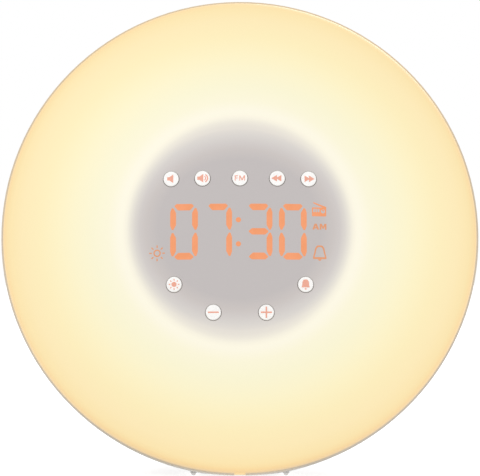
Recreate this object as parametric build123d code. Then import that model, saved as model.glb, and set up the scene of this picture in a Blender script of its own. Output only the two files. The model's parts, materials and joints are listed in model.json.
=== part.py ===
from build123d import *
import os
from math import asin, cos, radians, sin, sqrt

os.makedirs("parts", exist_ok=True)

# ------------------------------------------------------------------------------------
# A round bedside sunrise lamp with an alarm clock in the middle of its face.
# Sizes are in millimetres and degrees. The face's own frame has its origin at the centre
# of the rim, x to the right, y up the face and z out of it, towards the sleeper.
# ------------------------------------------------------------------------------------

clear = 1.0                 # cutters run this far past what they cut

# Stance
lean = 7.0                  # the face leans back from upright
sole = 1.0                  # thickness of the rubber under the housing
rim_lift = 0.07             # the rim clears the plane of the housing's underside by this

# Rear housing, a straight band and a round bowl cut off by the flat speaker panel
rim_radius = 89.5
housing_wall = 2.2
rim_band = 8.0              # straight stretch behind the rim, before the bowl curves in
panel_radius = 35.9         # the bowl ends where it is as wide as the flat speaker panel
panel_round = 12.0          # radius of the turn from bowl to panel

# Pedestal moulded under the bowl, measured back from the lowest point of the rim
pedestal_front = 25.0
pedestal_rear = 72.0
pedestal_front_half = 19.5
pedestal_rear_half = 30.0
pedestal_round = 6.0
pedestal_height = 44.0      # its walls run this far up, where the bowl takes over

# Rubber feet
front_foot_x = 17.4
front_foot_start = 11.0     # behind the rim
front_foot_width = 2.3
foot_rib_height = 3.0       # ribs of the housing that carry the front feet
rear_foot_width = 52.0
rear_foot_length = 8.0
rear_foot_inset = 5.0       # from the pedestal's rear wall

# Translucent front cover
ledge = 0.7                 # the housing's rim shows this far around the cover
cover_wall = 2.0
cover_crown = 24.0          # top of the dome above the rim
cover_skirt = 4.0           # height at which the upright edge would meet the dome
cover_edge = 0.2            # the edge stays straight up to here and then turns into the dome
tongue_depth = 6.0          # the cover's lip reaches this far into the housing
tongue_wall = 2.0
slip = 0.15                 # fit between pieces that plug together
tab_width = 4.0             # catch at the bottom of the cover
tab_reach = 0.5
tab_depth = 2.2

# Push buttons
button_radius = 2.8
button_proud = 0.5          # the caps stand out of the cover by this
button_round = 0.35
button_gap = 0.3            # running clearance of caps and collars
button_travel = 0.5
collar_radius = 4.2
collar_thick = 1.8
stem_radius = 1.5
stem_gap = 0.05             # left above a switch when its button is pressed home
top_row_y = 18.6
top_row_inner_x = 13.75
top_row_outer_x = 25.3
side_button_x = 24.1
side_button_y = -20.5
set_button_x = 9.7
set_button_y = -30.75

# Display
cup_radius = 38.7           # inside of the dark tube around the display
cup_wall = 1.8
cup_gap = 0.2               # between the tube and the cover
cup_flange_thick = 1.6
display_board_z = 9.0       # back of the display's circuit board
board_thick = 1.6
cup_ledge = 2.0
display_half_width = 34.6
display_top = 11.3
display_bottom = -13.7
digit_centre_y = -1.15
digit_xs = (-20.47, -7.88, 6.85, 19.44)
digit_height = 20.7
digit_width = 10.07
segment_thick = 2.27
segment_gap = 0.4           # dark web between two segments
segment_point = 1.4         # length of the pointed end of a segment
guide_gap = 0.06            # between a light guide and its cell
guide_recess = 0.4          # the guides stop this far below the face of their block
colon_x = -0.54
colon_ys = (3.15, -5.8)
colon_radius = 0.95
icon_windows = ((-30.3, -8.9), (29.3, 6.9), (29.4, 0.9), (29.4, -9.0))
icon_window_radius = 2.4
small_led_width = 1.2
small_led_thick = 0.8

# Tact switches
switch_width = 6.0
switch_thick = 3.5
plunger_radius = 1.6
plunger_height = 0.9

# Lamp reflector
reflector_wall = 1.6
reflector_floor_z = -12.0   # back of its flat floor
reflector_floor_margin = 2.0  # the flat floor reaches this far past the lamp's board
reflector_rim_z = -3.6      # back of its rim
reflector_rim_width = 3.0
lamp_led_count = 16
lamp_led_width = 3.0
lamp_led_thick = 1.2
lamp_window_gap = 0.3
lamp_board_gap = 1.85       # between the foot of the display's tube and the ring-shaped board
lamp_board_width = 11.0     # of the ring-shaped board

# Screws that hold the front to the housing, down four wells in its back
well_circle_radius = 66.0
well_radius = 6.0
well_bore_radius = 4.0
well_floor = 2.0
well_floor_z = -32.0
housing_screw_radius = 1.6
housing_screw_head_radius = 3.3
housing_screw_head_height = 2.4
housing_screw_length = 12.0
boss_radius = 4.0

# Main circuit board, on posts behind the reflector
main_board_width = 84.0
main_board_height = 60.0
main_board_z = -30.0        # its front
post_inset = 5.0
post_radius = 2.2
post_gap = 0.1              # where a post passes the edge of the lamp's board
board_screw_radius = 1.1
board_screw_head_radius = 2.1
board_screw_head_height = 1.4
board_screw_length = 6.0
control_chip_size = (12.0, 12.0, 1.6)
radio_module_size = (18.0, 12.0, 2.8)
radio_module_place = (24.0, 14.0)
capacitor_radius = 4.0
capacitor_height = 11.0
capacitor_places = ((16.0, 18.0), (16.0, 28.5), (28.0, 10.0))   # from the board's lower left corner

# Sockets that the inner wires end in; the lamp's is placed from the board's lower left corner and
# the others from its middle
socket_size = (10.0, 6.0, 6.0)
power_socket_place = (-10.0, 20.0)
speaker_socket_place = (8.0, 20.0)
lamp_socket_place = (22.0, 12.0)
ribbon_socket_y = 8.0
ribbon_socket_depth = 4.0
ribbon_socket_height = 3.0
ribbon_socket_wall = 1.5

# Loudspeaker and its grille
grille_radius = 30.0
grille_ledge = 2.5
grille_thick = 1.2
grille_hole_width = 2.6           # across flats
grille_pitch = 4.3
grille_rings = 5
grille_reach_radius = 25.6         # hole centres stay inside this radius
speaker_radius = 31.0
speaker_gasket = 1.0
speaker_flange = 1.4
speaker_frame_wall = 1.0
speaker_neck = 14.0
speaker_coil_radius = 8.0   # opening at the bottom of the frame
speaker_window_width = 12.0
speaker_window_height = 5.0
speaker_depth = 20.0        # flange face to the back of the magnet
speaker_cone_radius = 24.0
speaker_surround = 3.0
cone_start = 0.2            # behind the speaker's front face
cone_thick = 0.8
cone_depth = 6.5
dust_cap_radius = 6.0
dust_cap_dish = 1.5
magnet_radius = 16.0
magnet_thick = 8.0
clamp_circle_radius = 33.4           # centres of the screws that clamp the speaker's edge
clamp_post_radius = 2.2
speaker_screw_head_radius = 3.0
speaker_screw_length = 3.4

# Sockets in the pedestal's rear wall
port_radius = 5.5
port_depth = 8.0
port_wall = 1.6
port_height = 9.0
jack_recess = 1.0           # the jack's face lies this far behind the port's sleeve
jack_width = 9.0
jack_length = 14.0
jack_bore_radius = 3.1
jack_bore_depth = 9.5
jack_pin_radius = 1.0
jack_pin_recess = 0.6
gland_x = 18.0
gland_radius = 3.2
gland_lip = 1.4
gland_bore_radius = 1.0
gland_groove = 1.0

# Wires
wire_radius = 0.8
wire_spacing = 4.0          # the two wires of a pair lie this far apart
lamp_wire_turn = 222.0      # where the lamp's wires reach its ring
lamp_wire_straight = 3.5    # straight length at both ends
lamp_wire_bend = 2.0
speaker_wire_drop = 8.0     # straight length below the socket
speaker_wire_reach = 18.0   # length in which they spread to the frame's edge
speaker_wire_inset = 2.0    # from the frame's edge
speaker_wire_bend = 5.0
power_wire_straight = 8.0   # behind the jack
power_wire_reach = 8.0      # further forward at the foot of their climb
power_wire_climb = 22.0     # height gained there
power_wire_drop = 10.0      # straight length below their socket
power_wire_sag = 30.0       # they come up from this far below it
power_wire_set_back = 4.0
power_wire_bend = 4.0
ribbon_width = 12.0
ribbon_thick = 0.8

# ---- Worked out from the sizes above -------------------------------------------------
FROM_LOW = (Align.CENTER, Align.CENTER, Align.MIN)

face_height = rim_radius * cos(radians(lean)) + rim_lift + sole
rim_bottom_y = -rim_radius * sin(radians(lean))
pedestal_back_y = rim_bottom_y + pedestal_rear
housing_depth = rim_band + sqrt(rim_radius**2 - panel_radius**2)

cover_radius = rim_radius - ledge
tongue_outer = rim_radius - housing_wall - slip
tongue_inner = tongue_outer - tongue_wall
crown_rise = cover_crown - cover_skirt
crown_radius = (cover_radius**2 + crown_rise**2) / (2 * crown_rise)
crown_centre = cover_crown - crown_radius
inner_crown = crown_radius - cover_wall
edge_squares = (cover_skirt - crown_centre) ** 2 - (cover_edge - crown_centre) ** 2
cover_round = edge_squares / (2 * (crown_radius - cover_radius))

display_board_front = display_board_z + board_thick
plunger_top = display_board_front + switch_thick + plunger_height
guide_low = display_board_front + 2 * small_led_thick
cup_foot_z = reflector_floor_z + reflector_wall
cup_flange_z = cup_foot_z + cup_flange_thick
cup_screw_circle_radius = cup_radius + cup_wall + board_screw_head_radius + 2 * slip
cup_flange_radius = cup_screw_circle_radius + board_screw_head_radius + slip
lamp_board_z = reflector_floor_z - board_thick
lamp_board_inner = cup_flange_radius + lamp_board_gap
lamp_board_outer = lamp_board_inner + lamp_board_width
lamp_circle_radius = lamp_board_inner + lamp_board_width / 2
reflector_floor_radius = lamp_board_outer + reflector_floor_margin
main_board_back = main_board_z - board_thick
panel_inside = -(housing_depth - housing_wall)
speaker_seat = panel_inside + speaker_gasket
speaker_flange_z = speaker_seat + speaker_flange
speaker_neck_z = speaker_seat + speaker_depth - magnet_thick
speaker_hole_radius = speaker_cone_radius + speaker_surround
port_end_y = pedestal_back_y - port_depth
jack_front_y = port_end_y - jack_recess
jack_back_y = jack_front_y - jack_length

button_places = {
    "button_volume_down": (-top_row_outer_x, top_row_y),
    "button_volume_up": (-top_row_inner_x, top_row_y),
    "button_radio": (0, top_row_y),
    "button_tune_down": (top_row_inner_x, top_row_y),
    "button_tune_up": (top_row_outer_x, top_row_y),
    "button_lamp": (-side_button_x, side_button_y),
    "button_alarm": (side_button_x, side_button_y),
    "button_minus": (-set_button_x, set_button_y),
    "button_plus": (set_button_x, set_button_y),
}

# Which of its seven segments each digit lights: top, upper left, upper right, middle,
# lower left, lower right, bottom
SEGMENTS = {
    "0": (1, 1, 1, 0, 1, 1, 1),
    "7": (1, 0, 1, 0, 0, 1, 0),
    "3": (1, 0, 1, 1, 0, 1, 1),
}
shown_time = "0730"


# ---- Building blocks in the face's frame ---------------------------------------------
def post(x, y, radius, low, high):
    """A round bar from z low to z high."""
    return Pos(x, y, low) * Cylinder(radius, high - low, align=FROM_LOW)


def ring(outer, inner, low, high):
    """A flat ring about the face's axis."""
    return post(0, 0, outer, low, high) - post(0, 0, inner, low - clear, high + clear)


def block(x, y, width, height, low, high):
    """A rectangular block from z low to z high."""
    return Pos(x, y, low) * Box(width, height, high - low, align=FROM_LOW)


def crown_ball(radius):
    """A ball about the centre of the dome's curve."""
    return Pos(0, 0, crown_centre) * Sphere(radius)


def inside_crown(x, y):
    """Height of the cover's inner face above a point of the rim plane."""
    return crown_centre + sqrt(inner_crown**2 - x**2 - y**2)


def polar(radius, count, start=0.0):
    """Points spaced evenly round a circle."""
    turns = [radians(start + 360 * i / count) for i in range(count)]
    return [(radius * cos(a), radius * sin(a)) for a in turns]


post_x = main_board_width / 2 - post_inset
post_y = main_board_height / 2 - post_inset
post_places = [(sx * post_x, sy * post_y) for sx in (-1, 1) for sy in (-1, 1)]
cup_screw_places = polar(cup_screw_circle_radius, 4)
lamp_screw_places = polar(lamp_circle_radius, 4, start=45 + 180 / lamp_led_count)
well_places = polar(well_circle_radius, 4, start=45)
clamp_places = polar(clamp_circle_radius, 4)


def spun(outline):
    """Turn a closed outline, drawn as (radius, z), about the face's axis."""
    return revolve(Plane.XZ * make_face(outline), Axis.Z, 360)


def wire(*points, bend):
    """A round wire through points, its corners turned with the radius bend."""
    path = FilletPolyline(*points, radius=bend)
    start = Plane(origin=path @ 0, z_dir=path % 0)
    return sweep(start * Circle(wire_radius), path=path)


def along_y(x, z, radius, front, back):
    """A round bar that runs level from front to back."""
    return Pos(x, back, z) * Rot(90, 0, 0) * Cylinder(radius, back - front, align=FROM_LOW)


# ---- Front cover ---------------------------------------------------------------------
def domed_plug(radius, sphere, corner, floor):
    """An upright cylinder with a rounded edge and a spherical top."""
    edge_z = crown_centre + sqrt(sphere**2 - radius**2)
    top_z = crown_centre + sphere
    half_turn = asin(radius / sphere) / 2
    middle = (sphere * sin(half_turn), crown_centre + sphere * cos(half_turn))
    outline = make_face(
        [
            Line((0, floor), (radius, floor)),
            Line((radius, floor), (radius, edge_z)),
            ThreePointArc((radius, edge_z), middle, (0, top_z)),
            Line((0, top_z), (0, floor)),
        ]
    )
    shoulder = outline.vertices().sort_by_distance((radius, edge_z, 0))[0]
    return revolve(Plane.XZ * fillet(shoulder, corner), Axis.Z, 360)


def front_diffuser():
    """The milky dome, with its lip, its catch and nine holes for the buttons."""
    cover = domed_plug(cover_radius, crown_radius, cover_round, 0)
    cover += post(0, 0, tongue_outer, -tongue_depth, cover_edge)
    cover -= domed_plug(tongue_inner, inner_crown, cover_round - cover_wall, -tongue_depth - clear)
    catch = block(0, -rim_radius, tab_width, 2 * housing_wall, -tab_depth, tab_depth)
    cover += catch & ring(cover_radius + tab_reach, tongue_outer + 2 * tab_reach, -tab_depth, tab_depth)
    for x, y in button_places.values():
        cover -= post(x, y, button_radius + button_gap, display_board_front, cover_crown + clear)
    return cover


# ---- Buttons -------------------------------------------------------------------------
def button(x, y):
    """A cap that follows the dome, a collar that keeps it in, and the stem that presses its switch."""
    collar_low = inside_crown(x, y) - collar_thick
    stem_low = plunger_top + stem_gap + button_travel
    cap = post(x, y, button_radius, collar_low, cover_crown + clear)
    cap &= crown_ball(crown_radius + button_proud)
    rim = cap.edges().sort_by(Axis.Z)[-1]
    cap = fillet(rim, button_round)
    collar = post(x, y, collar_radius, collar_low, cover_crown)
    collar &= crown_ball(inner_crown - button_gap)
    return cap + collar + post(x, y, stem_radius, stem_low, collar_low)


def tact_switches():
    """One switch under each button, drawn with its plunger at the bottom of its stroke."""
    case_top = display_board_front + switch_thick
    switches = []
    for x, y in button_places.values():
        case = block(x, y, switch_width, switch_width, display_board_front, case_top)
        switches.append(case + post(x, y, plunger_radius, case_top, plunger_top))
    return switches


# ---- Display -------------------------------------------------------------------------
def segment_outline(length, thick):
    """A bar along x with a point at each end."""
    tip, flat = length / 2, length / 2 - segment_point
    half = thick / 2
    return make_face(
        Polyline((-tip, 0), (-flat, half), (flat, half), (tip, 0), (flat, -half), (-flat, -half), close=True)
    )


def segment_places():
    """Each segment's place, turn, length and whether the shown digit lights it."""
    arm_x = (digit_width - segment_thick) / 2
    arm_y = (digit_height - segment_thick) / 2
    across = 2 * arm_x - segment_gap
    along = arm_y - segment_gap
    layout = (
        (0, arm_y, 0, across),
        (-arm_x, arm_y / 2, 90, along),
        (arm_x, arm_y / 2, 90, along),
        (0, 0, 0, across),
        (-arm_x, -arm_y / 2, 90, along),
        (arm_x, -arm_y / 2, 90, along),
        (0, -arm_y, 0, across),
    )
    places = []
    for digit, centre in zip(shown_time, digit_xs):
        for (x, y, turn, length), lit in zip(layout, SEGMENTS[digit]):
            places.append((centre + x, digit_centre_y + y, turn, length, lit))
    return places


def segment_bars(margin, low, high):
    """A prism in each segment's shape, as (lit, prism)."""
    bars = []
    for x, y, turn, length, lit in segment_places():
        outline = segment_outline(length - 2 * margin, segment_thick - 2 * margin)
        bars.append((lit, Pos(x, y, low) * Rot(0, 0, turn) * extrude(outline, high - low)))
    return bars


def round_windows(margin, low, high):
    """The colon's dots and the icons' windows."""
    dots = [post(colon_x, y, colon_radius - margin, low, high) for y in colon_ys]
    icons = [post(x, y, icon_window_radius - margin, low, high) for x, y in icon_windows]
    return dots + icons


def segment_housing():
    """The dark block with a light well for every segment; its face follows the dome."""
    height = display_top - display_bottom
    middle = (display_top + display_bottom) / 2
    body = block(0, middle, 2 * display_half_width, height, display_board_front, cover_crown)
    body &= crown_ball(inner_crown - cup_gap)
    wells = [bar for _, bar in segment_bars(0, display_board_front - clear, cover_crown)]
    return body - wells - round_windows(0, display_board_front - clear, cover_crown)


def light_guides(lit):
    """The clear prisms in the lit or the unlit wells."""
    bars = [bar for on, bar in segment_bars(guide_gap, guide_low, cover_crown) if on == lit]
    if lit:
        bars += round_windows(guide_gap, guide_low, cover_crown)
    face = crown_ball(inner_crown - cup_gap - guide_recess)
    return [bar & face for bar in bars]


def digit_leds():
    """A small LED on the board under every segment, dot and icon."""
    places = [(x, y) for x, y, _, _, _ in segment_places()]
    places += [(colon_x, y) for y in colon_ys] + list(icon_windows)
    top = display_board_front + small_led_thick
    return [block(x, y, small_led_width, small_led_width, display_board_front, top) for x, y in places]


def display_board():
    """The round circuit board behind the digits and the buttons."""
    return post(0, 0, cup_radius - slip, display_board_z, display_board_front)


def display_cup():
    """The dark tube that keeps the lamp's light out of the display."""
    cup = post(0, 0, cup_radius + cup_wall, cup_foot_z, cover_crown)
    cup &= crown_ball(inner_crown - cup_gap)
    cup += post(0, 0, cup_flange_radius, cup_foot_z, cup_flange_z)
    cup -= post(0, 0, cup_radius, display_board_z, cover_crown + clear)
    cup -= post(0, 0, cup_radius - cup_ledge, cup_foot_z - clear, display_board_z + clear)
    for x, y in cup_screw_places:
        cup -= post(x, y, board_screw_radius + slip, cup_foot_z - clear, cup_flange_z + clear)
    return cup


# ---- Lamp ----------------------------------------------------------------------------
def reflector_section(low, high):
    """Half a cut through the dish between two heights above its underside."""
    rim = tongue_inner - slip
    inner = cup_radius - cup_ledge
    below = ((inner, reflector_floor_z), (reflector_floor_radius, reflector_floor_z),
             (rim - reflector_rim_width, reflector_rim_z), (rim, reflector_rim_z))
    under = [(radius, z + low) for radius, z in below]
    over = [(radius, z + high) for radius, z in reversed(below)]
    return Polyline(*under, *over, close=True)


def lamp_reflector():
    """The white dish behind the cover, with the bosses that carry everything inside."""
    floor_z, face_z = reflector_floor_z, reflector_floor_z + reflector_wall
    dish = spun(reflector_section(0, reflector_wall))
    for x, y in well_places:
        dish += post(x, y, boss_radius, well_floor_z, reflector_rim_z)
    dish -= spun(reflector_section(reflector_wall, 4 * reflector_wall - reflector_floor_z))
    for x, y in well_places:
        dish -= post(x, y, housing_screw_radius, well_floor_z - clear, well_floor_z + housing_screw_length)
    window = lamp_led_width + 2 * lamp_window_gap
    for i in range(lamp_led_count):
        turn = Rot(0, 0, 360 * i / lamp_led_count)
        dish -= turn * block(lamp_circle_radius, 0, window, window, floor_z - clear, face_z + clear)
    for x, y in post_places:
        dish += post(x, y, post_radius, main_board_z, floor_z + reflector_wall / 2)
        dish -= post(x, y, board_screw_radius, main_board_z - clear, main_board_z + board_screw_length)
    for x, y in cup_screw_places:
        dish += post(x, y, post_radius, cup_foot_z - board_screw_length, cup_foot_z)
        dish -= post(x, y, board_screw_radius, cup_foot_z - board_screw_length + clear, cup_foot_z + clear)
    for x, y in lamp_screw_places:
        dish -= post(x, y, board_screw_radius, floor_z - clear, face_z + clear)
    return dish


def lamp_board():
    """The ring-shaped circuit board of the lamp."""
    board = ring(lamp_board_outer, lamp_board_inner, lamp_board_z, reflector_floor_z)
    for x, y in lamp_screw_places:
        board -= post(x, y, board_screw_radius + slip, lamp_board_z - clear, reflector_floor_z + clear)
    for x, y in post_places:
        board -= post(x, y, post_radius + post_gap, lamp_board_z - clear, reflector_floor_z + clear)
    return board


def lamp_leds():
    """Sixteen LEDs that stand up through the reflector's windows."""
    top = reflector_floor_z + lamp_led_thick
    led = block(lamp_circle_radius, 0, lamp_led_width, lamp_led_width, reflector_floor_z, top)
    return [Rot(0, 0, 360 * i / lamp_led_count) * led for i in range(lamp_led_count)]


# ---- Main board ----------------------------------------------------------------------
def main_board():
    """The clock and radio board, screwed to four posts."""
    board = block(0, 0, main_board_width, main_board_height, main_board_back, main_board_z)
    for x, y in post_places:
        board -= post(x, y, board_screw_radius + slip, main_board_back - clear, main_board_z + clear)
    return board


def from_corner(x, y):
    """A place on the main board, measured from its lower left corner."""
    return x - main_board_width / 2, y - main_board_height / 2


def on_main_board(x, y, width, height, thick):
    """A box-shaped component on the back of the main board."""
    return block(x, y, width, height, main_board_back - thick, main_board_back)


def capacitors():
    """Three smoothing capacitors that stand on the main board."""
    low = main_board_back - capacitor_height
    places = [from_corner(*place) for place in capacitor_places]
    return [post(x, y, capacitor_radius, low, main_board_back) for x, y in places]


def board_connectors():
    """The sockets that the inner wires end in, on both sides of the main board and behind the display."""
    width, height, thick = socket_size
    back = [on_main_board(x, y, *socket_size) for x, y in (power_socket_place, speaker_socket_place)]
    lamp_socket = block(*from_corner(*lamp_socket_place), width, height, main_board_z, main_board_z + thick)
    ribbon_size = (ribbon_width + 2 * ribbon_socket_wall, ribbon_socket_depth)
    ribbon_socket = block(0, ribbon_socket_y, *ribbon_size, 0, ribbon_socket_height)
    ribbon_ends = (main_board_z, display_board_z - ribbon_socket_height)
    return back + [lamp_socket] + [Pos(0, 0, z) * ribbon_socket for z in ribbon_ends]


# ---- Loudspeaker ---------------------------------------------------------------------
def speaker_grille():
    """The perforated disc let into the housing's back."""
    face = -housing_depth
    disc = post(0, 0, grille_radius - slip, face, face + grille_thick)
    hexagon = RegularPolygon(grille_hole_width / 2, 6, major_radius=False, rotation=30)
    cutter = extrude(hexagon, grille_thick + 2 * clear)
    holes = []
    for row in range(-grille_rings, grille_rings + 1):
        for step in range(-2 * grille_rings, 2 * grille_rings + 1):
            x = grille_pitch * (step + row / 2)
            y = grille_pitch * row * sin(radians(60))
            if x * x + y * y <= grille_reach_radius**2:
                holes.append(Pos(x, y, face - clear) * cutter)
    return disc - holes


def speaker_gasket_ring():
    """The foam ring between the speaker and the panel."""
    return ring(speaker_radius, grille_radius - grille_ledge, panel_inside, speaker_seat)


def speaker_basket():
    """The pressed frame, a flange and a cone down to the magnet, with four windows."""
    wall = speaker_frame_wall
    frame = spun(
        Polyline(
            (speaker_hole_radius, speaker_seat),
            (speaker_radius, speaker_seat),
            (speaker_radius, speaker_flange_z),
            (speaker_hole_radius + wall, speaker_flange_z),
            (speaker_neck + wall, speaker_neck_z),
            (speaker_coil_radius, speaker_neck_z),
            (speaker_coil_radius, speaker_neck_z - wall),
            (speaker_neck, speaker_neck_z - wall),
            (speaker_hole_radius, speaker_flange_z - cone_start),
            close=True,
        )
    )
    middle = (speaker_flange_z + speaker_neck_z) / 2
    outwards = (Align.MIN, Align.CENTER, Align.CENTER)
    window = Box(speaker_radius, speaker_window_width, speaker_window_height, align=outwards)
    window = Pos(speaker_neck, 0, middle) * window
    return frame - [Rot(0, 0, 45 + 90 * i) * window for i in range(4)]


def speaker_cone():
    """The paper cone and its dust cap."""
    low = speaker_seat + cone_start
    dish_z, cap_z = low + cone_depth - dust_cap_dish, low + cone_depth
    face = ((0, dish_z), (dust_cap_radius, cap_z), (speaker_cone_radius, low))
    back = [(radius, z + cone_thick) for radius, z in reversed(face)]
    return spun(Polyline(*face, *back, close=True))


def speaker_surround_ring():
    """The rubber roll between cone and frame."""
    low = speaker_seat + cone_start
    return ring(speaker_hole_radius, speaker_cone_radius, low, low + cone_thick)


def speaker_magnet():
    """The magnet and its back plate."""
    return post(0, 0, magnet_radius, speaker_neck_z, speaker_seat + speaker_depth)


# ---- Rear housing --------------------------------------------------------------------
def bowl_form(inset, top):
    """The bowl as a solid up to z top, its surface moved inwards by inset."""
    radius, depth = rim_radius - inset, housing_depth - inset
    bowl = Pos(0, 0, -rim_band) * Sphere(radius) & post(0, 0, radius, -depth, -rim_band)
    edge = bowl.edges().filter_by(GeomType.CIRCLE).sort_by(Axis.Z)[0]
    return fillet(edge, panel_round - inset) + post(0, 0, radius, -rim_band, top)


def pedestal_plan(inset):
    """The pedestal's outline from above, its sides moved inwards by inset."""
    front = rim_bottom_y + pedestal_front + inset
    rear = rim_bottom_y + pedestal_rear - inset
    front_half, rear_half = pedestal_front_half - inset, pedestal_rear_half - inset
    plan = make_face(
        Polyline((-front_half, front), (front_half, front), (rear_half, rear), (-rear_half, rear), close=True)
    )
    return fillet(plan.vertices(), pedestal_round - inset)


def below_level(z):
    """Everything under the level z of the standing frame."""
    return Pos(0, 0, z - rim_radius) * Box(4 * rim_radius, 4 * rim_radius, rim_radius, align=FROM_LOW)


def rear_housing(face):
    """The moulded back: bowl, pedestal, foot ribs, screw wells, speaker opening and sockets."""
    back = -housing_depth - clear
    outer = face * bowl_form(0, 0)
    outer += Pos(0, 0, sole) * extrude(pedestal_plan(0), pedestal_height)
    rib_length = pedestal_front + pedestal_round - front_foot_start
    rib_y = rim_bottom_y + front_foot_start + rib_length / 2
    rib = Box(front_foot_width, rib_length, foot_rib_height, align=FROM_LOW)
    outer += [Pos(side * front_foot_x, rib_y, sole) * rib for side in (-1, 1)]

    # What stands up inside the hollow: screw wells, speaker posts, the port's sleeve, the jack's cradle
    well_tubes = [face * post(x, y, well_radius, back, well_floor_z) for x, y in well_places]
    clamp_posts = [face * post(x, y, clamp_post_radius, back, speaker_flange_z) for x, y in clamp_places]
    sleeve = along_y(0, port_height, port_radius + port_wall, port_end_y, pedestal_back_y)
    cradle_height = port_height - jack_width / 2 - sole
    cradle_y = jack_back_y + jack_length / 2
    cradle = Pos(0, cradle_y, sole) * Box(jack_width, jack_length, cradle_height, align=FROM_LOW)
    behind_lip = face * post(0, 0, 2 * rim_radius, -housing_depth, -tongue_depth - slip)
    hollow = face * bowl_form(housing_wall, clear) - (below_level(sole + housing_wall) & behind_lip)
    hollow += Pos(0, 0, sole + housing_wall) * extrude(pedestal_plan(housing_wall), pedestal_height)
    hollow -= well_tubes + clamp_posts + [sleeve, cradle]
    shell = outer - hollow

    for x, y in well_places:
        shell -= face * post(x, y, well_bore_radius, back, well_floor_z - well_floor)
        shell -= face * post(x, y, housing_screw_radius + slip, back, well_floor_z + clear)
    for x, y in clamp_places:
        low = speaker_flange_z - speaker_screw_length
        shell -= face * post(x, y, board_screw_radius, low, speaker_flange_z + clear)
    shell -= face * post(0, 0, grille_radius, back, -housing_depth + grille_thick)
    shell -= face * post(0, 0, grille_radius - grille_ledge, back, panel_inside + clear)
    outside = pedestal_back_y + clear
    shell -= along_y(0, port_height, port_radius, jack_front_y, outside)
    shell -= along_y(gland_x, port_height, gland_radius, pedestal_back_y - 2 * housing_wall, outside)

    notch_low = -tab_depth - slip
    notch = block(0, -rim_radius, tab_width + 2 * slip, 2 * housing_wall, notch_low, clear)
    shell -= face * (notch & ring(2 * rim_radius, tongue_outer + 2 * tab_reach - slip, notch_low, clear))
    return shell - below_level(sole)


# ---- Feet and sockets, in the frame of the surface it stands on ----------------------
def front_feet():
    """The two slim rubber feet under the ribs."""
    length = pedestal_front - front_foot_start
    y = rim_bottom_y + front_foot_start + length / 2
    foot = Box(front_foot_width, length, sole, align=FROM_LOW)
    return [Pos(side * front_foot_x, y, 0) * foot for side in (-1, 1)]


def rear_foot():
    """The rubber strip under the back of the pedestal."""
    y = pedestal_back_y - rear_foot_inset - rear_foot_length / 2
    strip = SlotOverall(rear_foot_width, rear_foot_length)
    return Pos(0, y, 0) * extrude(strip, sole)


def power_jack():
    """The low-voltage socket behind the port."""
    case = Pos(0, jack_back_y + jack_length / 2, port_height) * Box(jack_width, jack_length, jack_width)
    bottom = jack_front_y - jack_bore_depth
    return case - along_y(0, port_height, jack_bore_radius, bottom, jack_front_y + clear)


def power_jack_pin():
    """The socket's centre pin."""
    bottom, tip = jack_front_y - jack_bore_depth, jack_front_y - jack_pin_recess
    return along_y(0, port_height, jack_pin_radius, bottom, tip)


def aerial_gland():
    """The rubber grommet that a wire aerial would leave by."""
    outside, inside = pedestal_back_y, pedestal_back_y - housing_wall
    gland = along_y(gland_x, port_height, gland_radius - slip, inside - gland_groove, outside + gland_groove)
    gland += along_y(gland_x, port_height, gland_radius + gland_lip, outside, outside + gland_groove)
    gland += along_y(gland_x, port_height, gland_radius + gland_lip, inside - gland_groove, inside)
    return gland - along_y(gland_x, port_height, gland_bore_radius, jack_back_y, outside + port_depth)


# ---- Screws --------------------------------------------------------------------------
def screw(radius, length, head_radius, head_height):
    """A pan-head screw that points up z, its head's flat at the origin."""
    return post(0, 0, radius - slip / 2, 0, length) + post(0, 0, head_radius, -head_height, 0)


def board_screw(length, head_radius=board_screw_head_radius):
    """The small screw used on all boards and, with a wide head, on the speaker."""
    return screw(board_screw_radius, length, head_radius, board_screw_head_height)


def driven_up(bolt, seat, places):
    """Copies of a screw that point out of the face, with their heads at z seat."""
    return [Pos(x, y, seat) * bolt for x, y in places]


def driven_down(bolt, seat, places):
    """Copies of a screw that point back into the lamp, with their heads at z seat."""
    return [Pos(x, y, seat) * Rot(180, 0, 0) * bolt for x, y in places]


def housing_screws():
    """Four long-reach screws at the bottom of the wells."""
    head = (housing_screw_head_radius, housing_screw_head_height)
    bolt = screw(housing_screw_radius, housing_screw_length, *head)
    return driven_up(bolt, well_floor_z - well_floor, well_places)


def board_screws():
    """The screws of the main board and of the lamp's board."""
    main = driven_up(board_screw(board_screw_length), main_board_back, post_places)
    lamp = driven_up(board_screw(board_thick + reflector_wall), lamp_board_z, lamp_screw_places)
    return main + lamp


def cup_screws():
    """Four screws through the foot of the display's tube."""
    return driven_down(board_screw(board_screw_length), cup_flange_z, cup_screw_places)


def speaker_screws():
    """Four screws whose wide heads clamp the speaker's edge."""
    bolt = board_screw(speaker_screw_length, speaker_screw_head_radius)
    return driven_down(bolt, speaker_flange_z, clamp_places)


# ---- Inner wires, in the face's frame ------------------------------------------------
def display_ribbon():
    """The flat cable from the display to the main board."""
    low, high = main_board_z + ribbon_socket_height, display_board_z - ribbon_socket_height
    return block(0, ribbon_socket_y, ribbon_width, ribbon_thick, low, high)


def side_by_side(x):
    """The places along x of the two wires of a pair."""
    return (x - wire_spacing / 2, x + wire_spacing / 2)


def lamp_leads():
    """Two wires from the main board forward to the lamp's ring."""
    socket_x, socket_y = from_corner(*lamp_socket_place)
    socket_top = main_board_z + socket_size[2]
    turn = radians(lamp_wire_turn)
    ring_x, ring_y = lamp_circle_radius * cos(turn), lamp_circle_radius * sin(turn)
    return [
        wire(
            (start_x, socket_y, socket_top),
            (start_x, socket_y, socket_top + lamp_wire_straight),
            (end_x, ring_y, lamp_board_z - lamp_wire_straight),
            (end_x, ring_y, lamp_board_z),
            bend=lamp_wire_bend,
        )
        for start_x, end_x in zip(side_by_side(socket_x), side_by_side(ring_x))
    ]


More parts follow.
